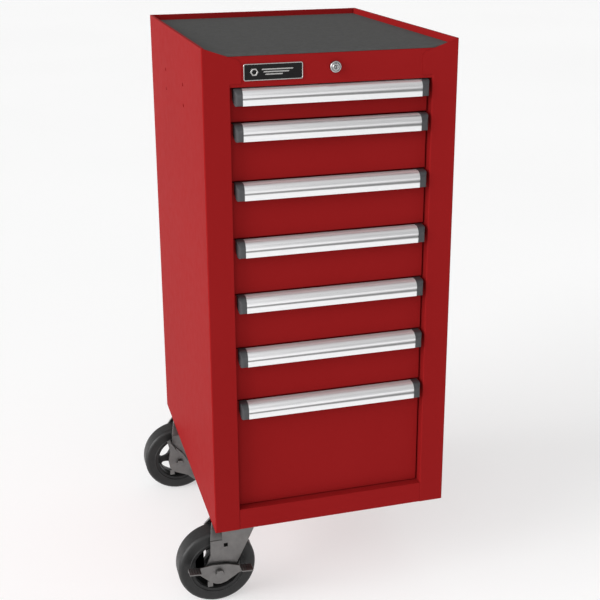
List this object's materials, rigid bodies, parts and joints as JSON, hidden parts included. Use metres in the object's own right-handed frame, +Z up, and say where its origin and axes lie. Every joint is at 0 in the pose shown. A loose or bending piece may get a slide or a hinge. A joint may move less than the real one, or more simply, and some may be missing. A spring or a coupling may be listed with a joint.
{
  "type": "side tool cabinet",
  "caption": "Tall narrow steel tool cabinet with full-width pulls on sliding drawers, a matted tray top, a key lock and swivel casters on one side.",
  "frame": {"origin": "on the floor, at the middle of the footprint of the whole object's box", "axes": "+Z up, -Y towards the front with the drawers, +X towards the wall that bolts to the main cabinet"},
  "size_m": [0.5238, 0.5782, 1.0845],
  "materials": {
    "red_paint": "satin powder coat with a fine orange peel",
    "zinc_steel": "zinc plated, slightly cloudy",
    "brushed_aluminium": "brushed along its length",
    "black_plastic": "fine moulded grain",
    "grey_mat": "matt with a fine texture",
    "badge_black": "gloss plate in a thin bright frame",
    "lock_chrome": "polished",
    "wheel_core": "moulded, with spoke windows",
    "tyre_rubber": "matt black rubber"
  },
  "bodies": {
    "root": {"left_side_panel": "red_paint", "right_side_panel": "red_paint", "back_panel": "red_paint", "floor_panel": "red_paint", "top_panel": "red_paint", "top_mat": "grey_mat", "header_rail": "red_paint", "sill_rail": "red_paint", "slide_posts": "zinc_steel", "slide_rails": "zinc_steel", "badge": "badge_black", "lock_housing": "lock_chrome", "caster_plates": "zinc_steel"},
    "lock_core": {"lock_cylinder": "lock_chrome"},
    "lock_bar": {"lock_bar": "zinc_steel"},
    "front_fork": {"fork_front": "zinc_steel", "axle_front": "zinc_steel"},
    "front_wheel": {"wheel_front": "wheel_core", "tyre_front": "tyre_rubber"},
    "front_brake": {"brake_lever_front": "zinc_steel"},
    "rear_fork": {"fork_rear": "zinc_steel", "axle_rear": "zinc_steel"},
    "rear_wheel": {"wheel_rear": "wheel_core", "tyre_rear": "tyre_rubber"},
    "rear_brake": {"brake_lever_rear": "zinc_steel"},
    "drawer_1": {"drawer_1": "red_paint", "pull_1": "brushed_aluminium", "pull_caps_1": "black_plastic", "slide_inner_1": "zinc_steel"},
    "slide_middle_1": {"slide_middle_1": "zinc_steel"},
    "drawer_2": {"drawer_2": "red_paint", "pull_2": "brushed_aluminium", "pull_caps_2": "black_plastic", "slide_inner_2": "zinc_steel"},
    "slide_middle_2": {"slide_middle_2": "zinc_steel"},
    "drawer_3": {"drawer_3": "red_paint", "pull_3": "brushed_aluminium", "pull_caps_3": "black_plastic", "slide_inner_3": "zinc_steel"},
    "slide_middle_3": {"slide_middle_3": "zinc_steel"},
    "drawer_4": {"drawer_4": "red_paint", "pull_4": "brushed_aluminium", "pull_caps_4": "black_plastic", "slide_inner_4": "zinc_steel"},
    "slide_middle_4": {"slide_middle_4": "zinc_steel"},
    "drawer_5": {"drawer_5": "red_paint", "pull_5": "brushed_aluminium", "pull_caps_5": "black_plastic", "slide_inner_5": "zinc_steel"},
    "slide_middle_5": {"slide_middle_5": "zinc_steel"},
    "drawer_6": {"drawer_6": "red_paint", "pull_6": "brushed_aluminium", "pull_caps_6": "black_plastic", "slide_inner_6": "zinc_steel"},
    "slide_middle_6": {"slide_middle_6": "zinc_steel"},
    "drawer_7": {"drawer_7": "red_paint", "pull_7": "brushed_aluminium", "pull_caps_7": "black_plastic", "slide_inner_7": "zinc_steel"},
    "slide_middle_7": {"slide_middle_7": "zinc_steel"}
  },
  "joints": [
    {"name": "lock_turn", "type": "hinge", "parent": "root", "child": "lock_core", "pos_m": [0.0353, -0.28115, 1.0454], "axis": [0, 1, 0], "range_deg": [0, 90]},
    {"name": "lock_bar_drop", "type": "slide", "parent": "root", "child": "lock_bar", "axis": [0, 0, -1], "range_m": [0, 0.012]},
    {"name": "front_caster_swivel", "type": "hinge", "parent": "root", "child": "front_fork", "pos_m": [-0.1437, -0.2196, 0.0762], "axis": [0, 0, 1], "continuous": true},
    {"name": "front_wheel_spin", "type": "hinge", "parent": "front_fork", "child": "front_wheel", "pos_m": [-0.1857, -0.2196, 0.0762], "axis": [0, 1, 0], "continuous": true},
    {"name": "front_brake_rock", "type": "hinge", "parent": "front_fork", "child": "front_brake", "pos_m": [-0.1857, -0.2196, 0.0762], "axis": [0, 1, 0], "range_deg": [0, 55]},
    {"name": "rear_caster_swivel", "type": "hinge", "parent": "root", "child": "rear_fork", "pos_m": [-0.1437, 0.2264, 0.0762], "axis": [0, 0, 1], "continuous": true},
    {"name": "rear_wheel_spin", "type": "hinge", "parent": "rear_fork", "child": "rear_wheel", "pos_m": [-0.1857, 0.2264, 0.0762], "axis": [0, 1, 0], "continuous": true},
    {"name": "rear_brake_rock", "type": "hinge", "parent": "rear_fork", "child": "rear_brake", "pos_m": [-0.1857, 0.2264, 0.0762], "axis": [0, 1, 0], "range_deg": [-55, 0]},
    {"name": "drawer_1_slide", "type": "slide", "parent": "root", "child": "drawer_1", "axis": [0, -1, 0], "range_m": [0, 0.48]},
    {"name": "middle_1_slide", "type": "slide", "parent": "root", "child": "slide_middle_1", "axis": [0, -1, 0], "range_m": [0, 0.24]},
    {"name": "drawer_2_slide", "type": "slide", "parent": "root", "child": "drawer_2", "axis": [0, -1, 0], "range_m": [0, 0.48]},
    {"name": "middle_2_slide", "type": "slide", "parent": "root", "child": "slide_middle_2", "axis": [0, -1, 0], "range_m": [0, 0.24]},
    {"name": "drawer_3_slide", "type": "slide", "parent": "root", "child": "drawer_3", "axis": [0, -1, 0], "range_m": [0, 0.48]},
    {"name": "middle_3_slide", "type": "slide", "parent": "root", "child": "slide_middle_3", "axis": [0, -1, 0], "range_m": [0, 0.24]},
    {"name": "drawer_4_slide", "type": "slide", "parent": "root", "child": "drawer_4", "axis": [0, -1, 0], "range_m": [0, 0.48]},
    {"name": "middle_4_slide", "type": "slide", "parent": "root", "child": "slide_middle_4", "axis": [0, -1, 0], "range_m": [0, 0.24]},
    {"name": "drawer_5_slide", "type": "slide", "parent": "root", "child": "drawer_5", "axis": [0, -1, 0], "range_m": [0, 0.48]},
    {"name": "middle_5_slide", "type": "slide", "parent": "root", "child": "slide_middle_5", "axis": [0, -1, 0], "range_m": [0, 0.24]},
    {"name": "drawer_6_slide", "type": "slide", "parent": "root", "child": "drawer_6", "axis": [0, -1, 0], "range_m": [0, 0.48]},
    {"name": "middle_6_slide", "type": "slide", "parent": "root", "child": "slide_middle_6", "axis": [0, -1, 0], "range_m": [0, 0.24]},
    {"name": "drawer_7_slide", "type": "slide", "parent": "root", "child": "drawer_7", "axis": [0, -1, 0], "range_m": [0, 0.48]},
    {"name": "middle_7_slide", "type": "slide", "parent": "root", "child": "slide_middle_7", "axis": [0, -1, 0], "range_m": [0, 0.24]}
  ],
  "couplings": [
    {"joint": "lock_turn", "follows": "lock_bar_drop", "rad_per_m": 130.67},
    {"joint": "middle_1_slide", "follows": "drawer_1_slide", "ratio": 0.5},
    {"joint": "middle_2_slide", "follows": "drawer_2_slide", "ratio": 0.5},
    {"joint": "middle_3_slide", "follows": "drawer_3_slide", "ratio": 0.5},
    {"joint": "middle_4_slide", "follows": "drawer_4_slide", "ratio": 0.5},
    {"joint": "middle_5_slide", "follows": "drawer_5_slide", "ratio": 0.5},
    {"joint": "middle_6_slide", "follows": "drawer_6_slide", "ratio": 0.5},
    {"joint": "middle_7_slide", "follows": "drawer_7_slide", "ratio": 0.5}
  ]
}
